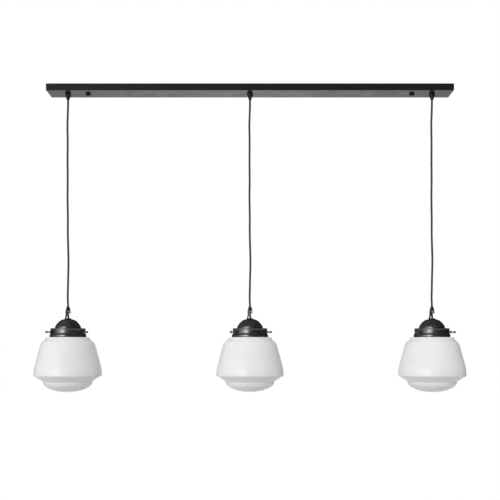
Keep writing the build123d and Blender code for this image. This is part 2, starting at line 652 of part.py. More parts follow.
def bulb():
    top = HOLDER_BOTTOM_Z + SOCKET_DEPTH - GAP
    base_low = HOLDER_BOTTOM_Z - GAP
    centre = top - LAMP_LENGTH + LAMP_GLOBE_RADIUS
    base = rod_z(LAMP_BASE_RADIUS, base_low, top)
    base = chamfer(base.faces().sort_by(Axis.Z)[-1].edges(), 4.0)
    neck_high = base_low
    neck_low = centre + LAMP_GLOBE_RADIUS * 0.5
    neck = Pos(0, 0, (neck_high + neck_low) / 2) * Cone(
        LAMP_GLOBE_RADIUS * 0.86, LAMP_NECK_RADIUS, neck_high - neck_low
    )
    return base + neck + Pos(0, 0, centre) * Sphere(LAMP_GLOBE_RADIUS)


def pendant():
    """Every piece of one pendant, by name."""
    pieces = {
        "cord_neck": cord_neck(),
        "cord": cord(),
        "cord_hook": cord_hook(),
        "hook_screws": hook_screws(),
        "loop": loop(),
        "cord_tail": cord_tail(),
        "dome": dome(),
        "gallery": gallery(),
        "glass_shade": glass_shade(),
        "lampholder": lampholder(),
        "holder_fixings": holder_fixings(),
        "bulb": bulb(),
    }
    for letter, angle in SCREW_ANGLES.items():
        pieces["thumbscrew_" + letter] = thumbscrew(angle)
    return pieces


def save(name, piece, place=Location()):
    """Writes one piece, or a group of separate solids, at its place."""
    if isinstance(piece, list):
        piece = Compound([part.solid() for part in piece])
    export_step(place * piece, "parts/" + name + ".step")


def main():
    os.makedirs("parts", exist_ok=True)
    save("ceiling_bar", ceiling_bar())
    save("mounting_bracket_left", mounting_bracket(-STUD_X))
    save("mounting_bracket_right", mounting_bracket(STUD_X))
    save("cap_nuts", [cap_nut(-STUD_X), cap_nut(STUD_X)])
    save("grip_lock_nuts", grip_lock_nuts())
    save("terminal_block", terminal_block())
    save("terminal_screws", terminal_screws())
    save("stud_nuts", stud_nuts())
    save("lead_left", lead_left())
    save("lead_centre", lead_centre())
    save("lead_right", lead_right())
    save("earth_lead", earth_lead())
    pieces = pendant()
    for side, x in PENDANTS.items():
        save("cord_grip_" + side, cord_grip(x))
        for name, piece in pieces.items():
            save(name + "_" + side, piece, Pos(x, 0, 0))


main()
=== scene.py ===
# %% [markdown]
# # A linear pendant light, dressed for its picture
#
# The light is a black bar on the ceiling with three opal glass shades on covered cords.
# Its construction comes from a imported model, which is the frame: every piece here is made where
# the frame says, in metres, with the ceiling at z = 0 and the shades hanging down.
# The lesson models the pieces that show and gives each of them its finish.

# %% Load the frame
import json
import math

import bpy
from mathutils import Matrix, Vector


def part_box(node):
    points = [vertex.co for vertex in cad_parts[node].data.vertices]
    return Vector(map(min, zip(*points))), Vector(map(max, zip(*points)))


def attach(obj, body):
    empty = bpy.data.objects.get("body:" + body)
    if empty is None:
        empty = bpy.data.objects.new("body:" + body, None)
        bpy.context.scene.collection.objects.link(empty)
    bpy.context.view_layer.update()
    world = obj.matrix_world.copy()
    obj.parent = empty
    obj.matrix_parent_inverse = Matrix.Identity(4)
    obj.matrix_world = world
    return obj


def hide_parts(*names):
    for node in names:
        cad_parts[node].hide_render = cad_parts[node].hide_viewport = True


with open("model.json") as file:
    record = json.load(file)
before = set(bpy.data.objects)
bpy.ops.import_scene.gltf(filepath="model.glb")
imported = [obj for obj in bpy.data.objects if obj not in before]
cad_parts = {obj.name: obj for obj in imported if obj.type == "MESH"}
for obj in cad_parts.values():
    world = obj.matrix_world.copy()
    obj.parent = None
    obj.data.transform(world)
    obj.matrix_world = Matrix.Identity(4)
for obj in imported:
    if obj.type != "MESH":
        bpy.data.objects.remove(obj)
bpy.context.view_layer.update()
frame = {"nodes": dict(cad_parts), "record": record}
NODES = frame["nodes"]
RECORD = frame["record"]
MM = 0.001

# %% [markdown]
# ## The camera
#
# The picture was taken level, from the front, with upright lines kept parallel. A level camera
# with a lens shift does that: the shift moves the picture down on the sensor, and the camera
# stays at the height whose horizon shows the bar's underside as the photograph does.

# %% Camera
CAMERA_DISTANCE = 2.75
CAMERA_HEIGHT = -0.7835
LENS = 66.4
LENS_SHIFT = 0.2

camera_data = bpy.data.cameras.new("camera")
camera_data.lens = LENS
camera_data.sensor_width = 36.0
camera_data.shift_y = LENS_SHIFT
camera_data.clip_end = 60.0
camera = bpy.data.objects.new("camera", camera_data)
camera.location = (0.0, -CAMERA_DISTANCE, CAMERA_HEIGHT)
camera.rotation_euler = (math.radians(90), 0, 0)
bpy.context.scene.collection.objects.link(camera)
bpy.context.scene.camera = camera
print("camera", tuple(camera.location), "lens", LENS)

# %% [markdown]
# ## Where the pieces are
#
# One pendant is modelled on the bar's middle and then copied to the left and right, so its
# heights are wanted once. Heights and reaches come from the frame's boxes where a box gives them.
# Finer forms, such as the gallery's profile and the bands of the glass, follow the photograph and
# may stand a few millimetres off the frame's plainer solids.

# %% Places read from the frame
SIDES = ("left", "centre", "right")
CORD_RADIUS = 3.0
PENDANT_X = {side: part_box("cord_neck_" + side)[0].x + CORD_RADIUS * MM for side in SIDES}
GLASS_LOW, GLASS_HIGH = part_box("glass_shade_centre")
DOME_LOW, DOME_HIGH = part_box("dome_centre")
GALLERY_LOW, GALLERY_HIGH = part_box("gallery_centre")
LOOP_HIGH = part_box("loop_centre")[1]
HOOK_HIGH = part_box("cord_hook_centre")[1]
GRIP_LOW, GRIP_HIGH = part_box("cord_grip_centre")
EAR_RISE = 3.8
HOOK_TOP = HOOK_HIGH.z / MM
PIVOT = LOOP_HIGH.z / MM - EAR_RISE
BODY_OF = {node: body for body, nodes in RECORD["behaviour"]["bodies"].items() for node in nodes}
print("pendants at", {side: round(x, 4) for side, x in PENDANT_X.items()})

# %% [markdown]
# ## Helpers for modelling by hand
#
# Most of what shows was turned or spun on a lathe, so the main helper works as a potter does: it
# adds a circle, then raises it ring by ring with extrude and resize. An outline is a short list of
# corners, each with how far it is rounded, and `soften` puts a small curve in each corner.


# %% Select nothing, and finish a piece
def let_go():
    """Leave edit mode and select nothing, because an operator acts on all that is selected."""
    if bpy.context.mode != "OBJECT":
        bpy.ops.object.mode_set(mode="OBJECT")
    bpy.ops.object.select_all(action="DESELECT")


def hold(piece):
    """Select one piece alone."""
    let_go()
    piece.select_set(True)
    bpy.context.view_layer.objects.active = piece


def apply_all(piece):
    """Apply each modifier, then the piece's own place, turn and size."""
    hold(piece)
    for modifier in list(piece.modifiers):
        bpy.ops.object.modifier_apply(modifier=modifier.name)
    bpy.ops.object.transform_apply(location=True, rotation=True, scale=True)


def smooth(piece, angle=35):
    """Shade smooth except over edges sharper than the angle."""
    hold(piece)
    bpy.ops.object.shade_smooth_by_angle(angle=math.radians(angle))


def even_shading(piece):
    """Let the large faces decide how a corner is shaded, so that flat sides stay flat."""
    modifier = piece.modifiers.new("even shading", "WEIGHTED_NORMAL")
    modifier.keep_sharp = True
    hold(piece)
    bpy.ops.object.modifier_apply(modifier=modifier.name)


def outward(piece):
    """Merge doubled points and turn every face outwards."""
    hold(piece)
    bpy.ops.object.mode_set(mode="EDIT")
    bpy.ops.mesh.select_all(action="SELECT")
    bpy.ops.mesh.remove_doubles(threshold=0.02 * MM)
    bpy.ops.mesh.normals_make_consistent(inside=False)
    bpy.ops.object.mode_set(mode="OBJECT")


def pick(piece, kind, wanted):
    """Enter edit mode with only the points, edges or faces selected that wanted() says yes to."""
    hold(piece)
    bpy.ops.object.mode_set(mode="EDIT")
    bpy.ops.mesh.select_mode(type=kind)
    bpy.ops.mesh.select_all(action="DESELECT")
    bpy.ops.object.mode_set(mode="OBJECT")
    rows = {"VERT": piece.data.vertices, "EDGE": piece.data.edges, "FACE": piece.data.polygons}[kind]
    for row in rows:
        row.select = wanted(row)
    bpy.ops.object.mode_set(mode="EDIT")


def plug(piece):
    """Close the one ring that a turned piece still has open."""
    hold(piece)
    bpy.ops.object.mode_set(mode="EDIT")
    bpy.ops.mesh.select_mode(type="VERT")
    bpy.ops.mesh.select_all(action="DESELECT")
    bpy.ops.mesh.select_non_manifold()
    bpy.ops.mesh.edge_face_add()
    bpy.ops.object.mode_set(mode="OBJECT")
    outward(piece)


# %% Outlines
def soften(corners, steps=5):
    """(radius, height, rounding) corners in millimetres to a softened outline of points in metres."""
    points = []
    for index, (radius, height, rounding) in enumerate(corners):
        here = Vector((radius, height)) * MM
        if rounding == 0 or index in (0, len(corners) - 1):
            points.append(here)
            continue
        before = Vector(corners[index - 1][:2]) * MM - here
        after = Vector(corners[index + 1][:2]) * MM - here
        start = here + before.normalized() * min(rounding * MM, before.length * 0.49)
        end = here + after.normalized() * min(rounding * MM, after.length * 0.49)
        for step in range(steps + 1):
            t = step / steps
            points.append(start * (1 - t) ** 2 + here * 2 * t * (1 - t) + end * t**2)
    return points


def ellipse(centre, wide, high, start, end, steps):
    """Points of an elliptical arc between two angles in degrees, in millimetres, as corners."""
    turns = [math.radians(start + (end - start) * step / steps) for step in range(steps + 1)]
    return [(centre[0] + wide * math.cos(t), centre[1] + high * math.sin(t), 0) for t in turns]


# %% Turn an outline into a round piece
def turn(name, outline, sides=96):
    """Raise a circle through the outline's radii and heights. A radius of nothing closes it."""
    let_go()
    radius, height = outline[0]
    bpy.ops.mesh.primitive_circle_add(vertices=sides, radius=radius, location=(0, 0, height))
    piece = bpy.context.object
    piece.name = name
    bpy.ops.object.mode_set(mode="EDIT")
    bpy.ops.mesh.select_all(action="SELECT")
    for next_radius, next_height in outline[1:]:
        bpy.ops.mesh.extrude_region_move(TRANSFORM_OT_translate={"value": (0, 0, next_height - height)})
        if next_radius < 1e-6:
            bpy.ops.mesh.merge(type="CENTER")
        else:
            share = next_radius / radius
            bpy.ops.transform.resize(value=(share, share, 1), center_override=(0, 0, next_height))
        radius, height = next_radius, next_height
    bpy.ops.object.mode_set(mode="OBJECT")
    bpy.ops.object.transform_apply(location=True, rotation=True, scale=True)
    outward(piece)
    return piece


def joined(pieces):
    """Make one object of several."""
    hold(pieces[0])
    for piece in pieces[1:]:
        piece.select_set(True)
    bpy.ops.object.join()
    return pieces[0]


def thicken(piece, wall):
    """Give a turned skin its wall, inwards."""
    modifier = piece.modifiers.new("wall", "SOLIDIFY")
    modifier.thickness = wall * MM
    modifier.offset = -1
    modifier.use_even_offset = True
    apply_all(piece)


# %% [markdown]
# A pendant's piece is modelled once, on the middle of the bar. The copies each get their own mesh
# and are moved in their points, so that every object sits at the origin as the frame's nodes do.


# %% Copy a piece to the three pendants, or smooth a frame's node
def hang(piece, node, material):
    """Put a finished piece in place of the same node on each of the three pendants."""
    pieces = []
    for side in SIDES:
        copy = bpy.data.objects.new(f"{piece.name}_{side}", piece.data.copy())
        copy.data.transform(Matrix.Translation((PENDANT_X[side], 0, 0)))
        bpy.context.scene.collection.objects.link(copy)
        dress(copy, f"{node}_{side}", material)
        pieces.append(copy)
    bpy.data.objects.remove(piece)
    return pieces


def dress(piece, node, material):
    """One piece stands for one node: it rides on its body and takes its slot and finish."""
    piece.data.materials.clear()
    piece.data.materials.append(material)
    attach(piece, BODY_OF[node])
    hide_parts(node)


def soft_copy(node, material, angle=30):
    """A merged and smoothed copy of a node whose shape is right, because the node is loose triangles."""
    piece = bpy.data.objects.new(node + "_skin", NODES[node].data.copy())
    bpy.context.scene.collection.objects.link(piece)
    hold(piece)
    bpy.ops.object.mode_set(mode="EDIT")
    bpy.ops.mesh.select_all(action="SELECT")
    bpy.ops.mesh.remove_doubles(threshold=0.001 * MM)
    bpy.ops.object.mode_set(mode="OBJECT")
    smooth(piece, angle)
    even_shading(piece)
    dress(piece, node, material)
    return piece


# %% [markdown]
# ## Finishes
#
# Each finish is made of nodes that read Object coordinates, so its grain keeps its real size on
# every piece. A noise scale of 1000 gives grain of about a millimetre.


# %% A material with its shader, and noise on it
def new_finish(name, colour, roughness, metallic=0.0):
    """A material whose constant values sit on the shader's own sockets."""
    material = bpy.data.materials.new(name)
    material.use_nodes = True
    shader = material.node_tree.nodes["Principled BSDF"]
    shader.inputs["Base Color"].default_value = (*colour, 1)
    shader.inputs["Roughness"].default_value = roughness
    shader.inputs["Metallic"].default_value = metallic
    return material, shader


def grain(material, scale, detail=3.0, stretch=(1, 1, 1)):
    """Noise on Object coordinates, stretched along the axes where asked. Returns its output."""
    nodes, links = material.node_tree.nodes, material.node_tree.links
    place = nodes.new("ShaderNodeTexCoord")
    mapping = nodes.new("ShaderNodeMapping")
    mapping.inputs["Scale"].default_value = stretch
    noise = nodes.new("ShaderNodeTexNoise")
    noise.inputs["Scale"].default_value = scale
    noise.inputs["Detail"].default_value = detail
    links.new(place.outputs["Object"], mapping.inputs["Vector"])
    links.new(mapping.outputs["Vector"], noise.inputs["Vector"])
    return noise.outputs["Fac"]


def spread(material, source, low, high, start=0.35, end=0.65):
    """Stretch a noise's middle range over the values from low to high."""
    nodes, links = material.node_tree.nodes, material.node_tree.links
    ranger = nodes.new("ShaderNodeMapRange")
    for name, value in (("From Min", start), ("From Max", end), ("To Min", low), ("To Max", high)):
        ranger.inputs[name].default_value = value
    links.new(source, ranger.inputs["Value"])
    return ranger.outputs["Result"]


def tint(material, source, dark, light, start=0.35, end=0.65):
    """Colour between two tones by a noise."""
    nodes, links = material.node_tree.nodes, material.node_tree.links
    ramp = nodes.new("ShaderNodeValToRGB")
    ramp.color_ramp.elements[0].position = start
    ramp.color_ramp.elements[1].position = end
    ramp.color_ramp.elements[0].color = (*dark, 1)
    ramp.color_ramp.elements[1].color = (*light, 1)
    links.new(source, ramp.inputs["Fac"])
    return ramp.outputs["Color"]


def bump(material, shader, source, depth):
    """Raise the surface by a source, depth in millimetres."""
    nodes, links = material.node_tree.nodes, material.node_tree.links
    relief = nodes.new("ShaderNodeBump")
    relief.inputs["Distance"].default_value = depth * MM
    links.new(source, relief.inputs["Height"])
    links.new(relief.outputs["Normal"], shader.inputs["Normal"])


# %% [markdown]
# The bar is powder coated: satin black with the faint orange peel that baked powder leaves, a
# little glossier in some places than others. At a flat angle it mirrors what is behind it, which
# is why its underside looks much lighter than its front.


# %% Powder coat
def powder_coat():
    material, shader = new_finish("powder_coat", (0.012, 0.012, 0.013), 0.3)
    shader.inputs["Specular IOR Level"].default_value = 0.2
    links = material.node_tree.links
    links.new(spread(material, grain(material, 26.0), 0.26, 0.33), shader.inputs["Roughness"])
    links.new(
        tint(material, grain(material, 900.0), (0.01, 0.01, 0.0105), (0.015, 0.015, 0.016)),
        shader.inputs["Base Color"],
    )
    bump(material, shader, grain(material, 1100.0, 2.0), 0.012)
    return material


# %% [markdown]
# The dome, gallery, hook and loop are steel that was blackened in a bath. The bath leaves a
# mottled tone, and the lathe left fine rings round the piece, which draw a window's reflection
# out into a soft upright band. The rings are noise squeezed along Z.


# %% Blackened steel
def blackened_steel(name, light, smoothest, roughest):
    """Steel of this lightness, between two roughnesses."""
    material, shader = new_finish(name, (light, light, light), roughest, 1.0)
    shader.inputs["Specular Tint"].default_value = (0.25, 0.25, 0.25, 1)
    links = material.node_tree.links
    mottle = grain(material, 60.0, 4.0)
    dark = tuple(light * 0.86 * shade for shade in (1.0, 0.99, 0.98))
    pale = tuple(light * 1.1 * shade for shade in (0.99, 0.99, 1.02))
    links.new(tint(material, mottle, dark, pale), shader.inputs["Base Color"])
    links.new(spread(material, grain(material, 90.0), smoothest, roughest), shader.inputs["Roughness"])
    bump(material, shader, grain(material, 60.0, 2.0, (1, 1, 40)), 0.004)
    return material


# %% [markdown]
# Opal glass is white all through and polished outside. Light goes a few millimetres into it,
# which a little subsurface scattering shows, and very slow ripples from blowing bend the
# reflections.


# %% Opal glass
def opal_glass():
    material, shader = new_finish("opal_glass", (0.86, 0.87, 0.875), 0.07)
    shader.inputs["IOR"].default_value = 1.5
    shader.inputs["Subsurface Weight"].default_value = 0.2
    shader.inputs["Subsurface Radius"].default_value = (1.0, 0.95, 0.9)
    shader.inputs["Subsurface Scale"].default_value = 4 * MM
    links = material.node_tree.links
    cloud = grain(material, 14.0, 2.0)
    links.new(
        tint(material, cloud, (0.845, 0.855, 0.86), (0.875, 0.88, 0.882)),
        shader.inputs["Base Color"],
    )
    links.new(spread(material, grain(material, 40.0), 0.05, 0.1), shader.inputs["Roughness"])
    bump(material, shader, grain(material, 9.0, 1.0), 0.5)
    return material


# %% [markdown]
# The cord has a woven cover: two sets of threads wind round it in opposite directions and pass
# over and under each other. A curve carries a UV map, along it and round it, so the braid follows
# the cord wherever it goes. Two slanted waves, one per set, make the threads.


# %% Woven cover
THREADS_ROUND = 16
THREAD_PITCH = 2.2


def woven_cover(name, length):
    """Braid for a cord of this length in millimetres."""
    material, shader = new_finish(name, (0.05, 0.05, 0.055), 0.75)
    shader.inputs["Sheen Weight"].default_value = 0.25
    shader.inputs["Sheen Roughness"].default_value = 0.45
    nodes, links = material.node_tree.nodes, material.node_tree.links
    uv = nodes.new("ShaderNodeUVMap")
    split = nodes.new("ShaderNodeSeparateXYZ")
    links.new(uv.outputs["UV"], split.inputs["Vector"])
    waves = []
    for way in (1, -1):
        along = nodes.new("ShaderNodeMath")
        along.operation = "MULTIPLY"
        along.inputs[1].default_value = 2 * math.pi * length / THREAD_PITCH
        links.new(split.outputs["X"], along.inputs[0])
        slant = nodes.new("ShaderNodeMath")
        slant.operation = "MULTIPLY_ADD"
        slant.inputs[1].default_value = way * 2 * math.pi * THREADS_ROUND / 2
        links.new(split.outputs["Y"], slant.inputs[0])
        links.new(along.outputs["Value"], slant.inputs[2])
        wave = nodes.new("ShaderNodeMath")
        wave.operation = "SINE"
        links.new(slant.outputs["Value"], wave.inputs[0])
        waves.append(wave.outputs["Value"])
    weave = nodes.new("ShaderNodeMath")
    weave.operation = "MULTIPLY"
    for index, wave in enumerate(waves):
        links.new(wave, weave.inputs[index])
    links.new(
        tint(material, weave.outputs["Value"], (0.04, 0.04, 0.043), (0.066, 0.066, 0.071), 0.0, 0.9),
        shader.inputs["Base Color"],
    )
    bump(material, shader, weave.outputs["Value"], 0.07)
    return material


# %% [markdown]
# The small pieces are moulded plastic, zinc-plated steel and brass. Each gets the fine grain of
# its own making: spark texture on plastic, crystals on zinc, drawn lines on brass.


# %% Plastic, zinc and brass
def moulded_plastic(name, colour, roughness=0.5):
    """Plastic, or frosted or painted stock, with a fine even grain."""
    material, shader = new_finish(name, colour, roughness)
    pale = tuple(min(1.0, c * 1.25 + 0.001) for c in colour)
    links = material.node_tree.links
    links.new(tint(material, grain(material, 300.0), colour, pale), shader.inputs["Base Color"])
    bump(material, shader, grain(material, 2200.0, 2.0), 0.03)
    return material


def lead_cover():
    """The cords' woven cover on the runs inside the bar, as fine crossed threads."""
    material, shader = new_finish("lead_cover", (0.05, 0.05, 0.053), 0.8)
    shader.inputs["Sheen Weight"].default_value = 0.2
    threads = grain(material, 900.0, 2.0, (0.6, 1.6, 1.6))
    links = material.node_tree.links
    links.new(tint(material, threads, (0.03, 0.03, 0.032), (0.075, 0.075, 0.08)), shader.inputs["Base Color"])
    bump(material, shader, threads, 0.1)
    return material


def zinc_plate():
    material, shader = new_finish("zinc_plate", (0.5, 0.5, 0.51), 0.35, 1.0)
    links = material.node_tree.links
    flakes = grain(material, 240.0, 4.0)
    links.new(tint(material, flakes, (0.4, 0.4, 0.41), (0.6, 0.6, 0.6)), shader.inputs["Base Color"])
    links.new(spread(material, flakes, 0.28, 0.46), shader.inputs["Roughness"])
    return material


def bare_brass():
    material, shader = new_finish("bare_brass", (0.66, 0.45, 0.18), 0.28, 1.0)
    lines = grain(material, 500.0, 3.0, (8, 1, 1))
    material.node_tree.links.new(spread(material, lines, 0.2, 0.4), shader.inputs["Roughness"])
    return material


POWDER = powder_coat()
STEEL = blackened_steel("blackened_steel", 0.2, 0.25, 0.31)
CASTING = blackened_steel("blackened_casting", 0.09, 0.36, 0.46)
OPAL = opal_glass()
GRIP_PLASTIC = moulded_plastic("grip_plastic", (0.003, 0.003, 0.0033), 0.5)
HOLDER_PLASTIC = moulded_plastic("holder_plastic", (0.012, 0.012, 0.012), 0.35)
BLOCK_PLASTIC = moulded_plastic("block_plastic", (0.72, 0.72, 0.68), 0.5)
EARTH_PLASTIC = moulded_plastic("earth_plastic", (0.25, 0.42, 0.03), 0.4)
LAMP_GLASS = moulded_plastic("frosted_lamp", (0.8, 0.8, 0.78), 0.3)
NUT_BLACK = moulded_plastic("black_nut", (0.002, 0.002, 0.0022), 0.5)
LEAD_COVER = lead_cover()
ZINC = zinc_plate()
BRASS = bare_brass()
print("finishes", len(bpy.data.materials))

# %% [markdown]
# ## The cords
#
# The three free cords hang in the same slight wave, left from how they were packed. Each is one
# smooth NURBS curve through the air, on the same points as its solid in the frame: order three,
# with its ends on the end points. The order is set after the points, or it stays a row of
# straight runs. The tail's points are its own, because it has to pass through the eye of the loop
# that is modelled below.

# %% The wave of a free cord, in millimetres beside its pendant's axis
SWAY_HEIGHT = -47.3
HOOK_SEAT = 4.0
BORE = CORD_RADIUS + 0.1
CORD_WAVE = (
    (-0.4, 0.1, -74.0),
    (-2.3, 0.4, -113.0),
    (-0.9, 0.2, -163.0),
    (-1.7, -0.4, -219.0),
    (-0.8, -0.2, -276.0),
    (-1.8, 0.3, -330.0),
    (-0.4, 0.5, -390.0),
    (-0.9, 0.1, -438.0),
    (0.5, -0.4, -482.0),
    (1.6, -0.3, -522.0),
    (0.2, 0.2, -566.0),
    (-0.4, 0.3, -602.0),
    (-1.2, 0.0, -631.0),
)
CORD_ROUTE = (
    (0.0, 0.0, SWAY_HEIGHT + CORD_RADIUS),
    *CORD_WAVE,
    (0.0, 0.0, HOOK_TOP + HOOK_SEAT),
    (0.0, 0.0, PIVOT + BORE),
)
NECK_ROUTE = ((0.0, 0.0, -38.3), (0.0, 0.0, -40.0), (0.0, 0.0, -42.0), (0.0, 0.0, -44.0))
TAIL_ROUTE = (
    (0.0, 0.0, -668.3),
    (0.0, 0.0, -682.0),
    (1.3, 0.3, -686.3),
    (0.5, 0.1, -690.2),
    (0.5, 0.1, -708.0),
)


# %% Lay a cord along its points
def lay_cord(name, route, x, radius):
    """A round cord on one open NURBS spline through these points."""
    data = bpy.data.curves.new(name, "CURVE")
    data.dimensions = "3D"
    spline = data.splines.new("NURBS")
    spline.points.add(len(route) - 1)
    for point, (dx, dy, z) in zip(spline.points, route):
        point.co = (x + dx * MM, dy * MM, z * MM, 1)
    spline.order_u = 3
    spline.use_endpoint_u = True
    spline.resolution_u = 10
    data.bevel_depth = radius * MM
    data.bevel_resolution = 6
    data.use_fill_caps = True
    piece = bpy.data.objects.new(name, data)
    bpy.context.scene.collection.objects.link(piece)
    return piece


def route_length(route):
    """The straight runs between the points, added up."""
    return sum((Vector(b) - Vector(a)).length for a, b in zip(route, route[1:]))


COVER = woven_cover("woven_cover", route_length(CORD_ROUTE))
TAIL_COVER = woven_cover("woven_cover_tail", route_length(TAIL_ROUTE))
NECK_COVER = woven_cover("woven_cover_neck", route_length(NECK_ROUTE))
for side in SIDES:
    x = PENDANT_X[side]
    for name, route, radius, material in (
        ("cord", CORD_ROUTE, CORD_RADIUS, COVER),
        ("cord_neck", NECK_ROUTE, CORD_RADIUS, NECK_COVER),
        ("cord_tail", TAIL_ROUTE, CORD_RADIUS - 0.1, TAIL_COVER),
    ):
        node = f"{name}_{side}"
        piece = lay_cord(f"covered_{node}", route, x, radius)
        dress(piece, node, material)

# %% [markdown]
# ## The glass
#
# The shade is blown opal glass: a beaded neck, a level crown, a raised collar, a band and a
# shoulder, a long wall that widens to the belly, a chamfer under it and a bowl for a foot. It is
# turned from one outline and given a 3 mm wall inwards. Its edges are soft, as a mould leaves them.

# %% Turn the glass
GLASS_WALL = 3.0
NECK_RADIUS = 41.0
CROWN_GAP = 0.6
GALLERY_TOP = GALLERY_HIGH.z / MM
GALLERY_FOOT = GALLERY_LOW.z / MM
CROWN = GALLERY_FOOT - CROWN_GAP
BELLY_RADIUS = GLASS_HIGH.x / MM - PENDANT_X["centre"] / MM
GLASS_BOTTOM = GLASS_LOW.z / MM
NECK_TOP = GLASS_HIGH.z / MM
FOOT_RADIUS = 72.8
FOOT_HEIGHT = CROWN - 132.2

glass_outline = soften(
    [
        (42.3, NECK_TOP - 0.6, 0),
        (44.2, NECK_TOP - 0.9, 1.2),
        (44.4, NECK_TOP - 3.8, 1.2),
        (NECK_RADIUS, NECK_TOP - 4.6, 0.8),
        (NECK_RADIUS, CROWN, 2.4),
        (64.4, CROWN - 0.1, 2.6),
        (66.0, CROWN - 6.4, 1.8),
        (76.9, CROWN - 15.3, 3.0),
        (81.0, CROWN - 23.6, 5.0),
        (99.1, CROWN - 91.0, 12.0),
        (BELLY_RADIUS, CROWN - 104.0, 4.0),
        (BELLY_RADIUS, CROWN - 114.6, 2.4),
        (75.2, CROWN - 130.7, 1.4),
        (FOOT_RADIUS, FOOT_HEIGHT - 0.6, 1.0),
        *ellipse((0, FOOT_HEIGHT), FOOT_RADIUS, FOOT_HEIGHT - GLASS_BOTTOM, 0, -90, 30)[2:-1],
        (0.0, GLASS_BOTTOM, 0),
    ]
)
glass = turn("opal_shade", glass_outline, 128)
thicken(glass, GLASS_WALL)
smooth(glass, 30)
hang(glass, "glass_shade", OPAL)
print("glass outline", len(glass_outline), "points")

# %% [markdown]
# ## Dome and gallery
#
# Both are spun from sheet on a lathe, which is why their edges are rolled and why they have fine
# rings. The dome rises almost upright, rounds over and ends level under the loop's flange. The
# gallery has a rolled top edge, a plain wall and a rim that flares over the glass.

# %% Turn the dome
SHEET = 1.4
DOME_RADIUS = DOME_HIGH.x / MM
DOME_BASE = DOME_LOW.z / MM
DOME_TOP = DOME_HIGH.z / MM
DOME_RISE = DOME_TOP - DOME_BASE
DOME_CURVE = ((1, 0.14), (0.975, 0.235), (0.92, 0.37), (0.755, 0.66), (0.57, 0.875), (0.41, 0.96), (0.27, 1))
dome_outline = soften(
    [
        (DOME_RADIUS, DOME_BASE, 0),
        *[(DOME_RADIUS * wide, DOME_BASE + DOME_RISE * high, 8.0) for wide, high in DOME_CURVE],
        (5.1, DOME_TOP, 0),
    ],
    7,
)
dome = turn("dome_cap", dome_outline)
thicken(dome, SHEET)
smooth(dome)
hang(dome, "dome", STEEL)

# %% Turn the gallery
WALL = 51.0
gallery_outline = soften(
    [
        (19.7, GALLERY_TOP, 0),
        (WALL - 1.0, GALLERY_TOP, 0.6),
        (WALL + 0.8, GALLERY_TOP - 0.4, 0.9),
        (WALL + 0.8, GALLERY_TOP - 3.0, 0.9),
        (WALL, GALLERY_TOP - 3.8, 0.6),
        (WALL, GALLERY_FOOT + 10.4, 2.0),
        (WALL + 2.9, GALLERY_FOOT + 6.8, 1.6),
        (WALL + 3.0, GALLERY_FOOT + 1.0, 1.0),
        (WALL + 2.2, GALLERY_FOOT, 0),
    ],
    4,
)
gallery = turn("gallery_ring", gallery_outline, 120)
thicken(gallery, SHEET)

# %% [markdown]
# Three bosses are brazed into the gallery's wall, and a screw goes through each to hold the bead
# of the glass. A boss is a short bar with a chamfered end. It is modelled upright, laid over to
# point outwards, and turned to its angle round the gallery.

# %% Bosses on the gallery
SCREW_ANGLES = {"a": -25.5, "b": 94.5, "c": -145.5}
SCREW_HEIGHT = GALLERY_TOP - 11.6
BOSS_END = WALL + 7.0


def point_outwards(piece, angle):
    """Lay an upright piece over so that its Z points outwards at this angle, at the screws' height."""
    piece.rotation_euler = (0, math.radians(90), math.radians(angle))
    piece.location = (0, 0, SCREW_HEIGHT * MM)
    apply_all(piece)


boss_outline = soften(
    [
        (3.9, WALL - SHEET, 0),
        (3.9, BOSS_END - 1.8, 0.3),
        (4.0, BOSS_END - 1.4, 0.2),
        (3.2, BOSS_END, 0.4),
        (2.1, BOSS_END, 0),
        (2.1, BOSS_END - 4.0, 0),
    ]
)
parts = [gallery]
for letter, angle in SCREW_ANGLES.items():
    boss = turn("boss", boss_outline, 32)
    point_outwards(boss, angle)
    parts.append(boss)
gallery = joined(parts)
smooth(gallery)
hang(gallery, "gallery", STEEL)
print("gallery with", len(parts) - 1, "bosses")

# %% [markdown]
# A thumbscrew has a thin threaded shank and a knob that fingers can turn. The knurl is cut into
# the knob's side: its faces are inset one by one and sunk a little, which leaves a grid of ribs.

# %% Thumbscrews
SCREW_TIP = NECK_RADIUS + 0.3
KNOB_START = BOSS_END + 7.0
KNOB_END = KNOB_START + 6.4
SCREW_PITCH = 0.7
SHANK = 2.0
thread = []
turns = int((KNOB_START - BOSS_END) / SCREW_PITCH) - 1
for ring in range(turns):
    at = BOSS_END + 0.4 + ring * SCREW_PITCH
    thread += [(SHANK, at, 0), (SHANK - 0.32, at + SCREW_PITCH / 2, 0)]
screw_outline = soften(
    [
        (0.9, SCREW_TIP, 0),
        (SHANK - 0.5, SCREW_TIP, 0),
        (SHANK, SCREW_TIP + 0.8, 0),
        *thread,
        (SHANK - 0.2, KNOB_START, 0),
        (2.6, KNOB_START, 0.2),
        (3.2, KNOB_START + 0.7, 0.3),
        (3.2, KNOB_START + 1.9, 0),
        (3.2, KNOB_START + 3.1, 0),
        (3.2, KNOB_START + 4.3, 0),
        (3.2, KNOB_END - 1.4, 0.7),
        (2.0, KNOB_END - 0.2, 0.8),
        (0, KNOB_END, 0),
    ]
)


def knurl(piece, low, high, sink):
    """Inset and sink each side face between two heights, in millimetres."""
    pick(piece, "FACE", lambda face: low < face.center.z / MM < high and abs(face.normal.z) < 0.3)
    bpy.ops.mesh.inset(thickness=0.12 * MM, depth=-sink * MM, use_individual=True)
    bpy.ops.mesh.select_mode(type="VERT")
    bpy.ops.object.mode_set(mode="OBJECT")


